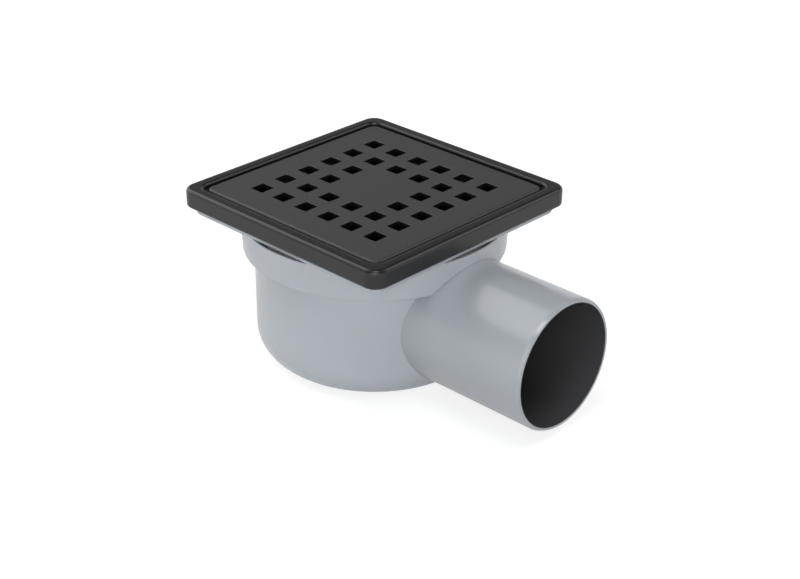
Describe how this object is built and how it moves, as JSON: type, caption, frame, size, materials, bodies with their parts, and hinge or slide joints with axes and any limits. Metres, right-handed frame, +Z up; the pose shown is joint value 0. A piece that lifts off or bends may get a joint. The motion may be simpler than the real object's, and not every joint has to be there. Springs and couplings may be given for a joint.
{
  "type": "gully trap",
  "caption": "Floor gully: a round grey water-trap body with a side outlet pipe, under a square black cover frame with a drop-in perforated grate.",
  "frame": {"origin": "centre of the body's flat base, on the axis of the bowl and the collar", "axes": "+Z up along the axis of the bowl, +X along the outlet pipe towards its mouth"},
  "size_m": [0.2174, 0.1548, 0.1016],
  "materials": {
    "grey_plastic": "satin moulded light grey polypropylene",
    "black_plastic": "satin moulded black polypropylene",
    "black_rubber": "smooth black sealing rubber"
  },
  "bodies": {
    "trap": {"trap_body": "grey_plastic", "trap_cup": "grey_plastic"},
    "seal": {"collar_seal": "black_rubber"},
    "top": {"raising_flange": "grey_plastic", "cover_frame": "black_plastic", "grate": "black_plastic", "trap_insert": "black_plastic", "insert_seal": "black_rubber"}
  },
  "joints": [
    {"name": "raise", "type": "slide", "parent": "trap", "child": "seal", "axis": [0, 0, 1], "range_m": [0, 0.004]},
    {"name": "turn", "type": "hinge", "parent": "seal", "child": "top", "pos_m": [0, 0, 0], "axis": [0, 0, 1], "continuous": true}
  ]
}
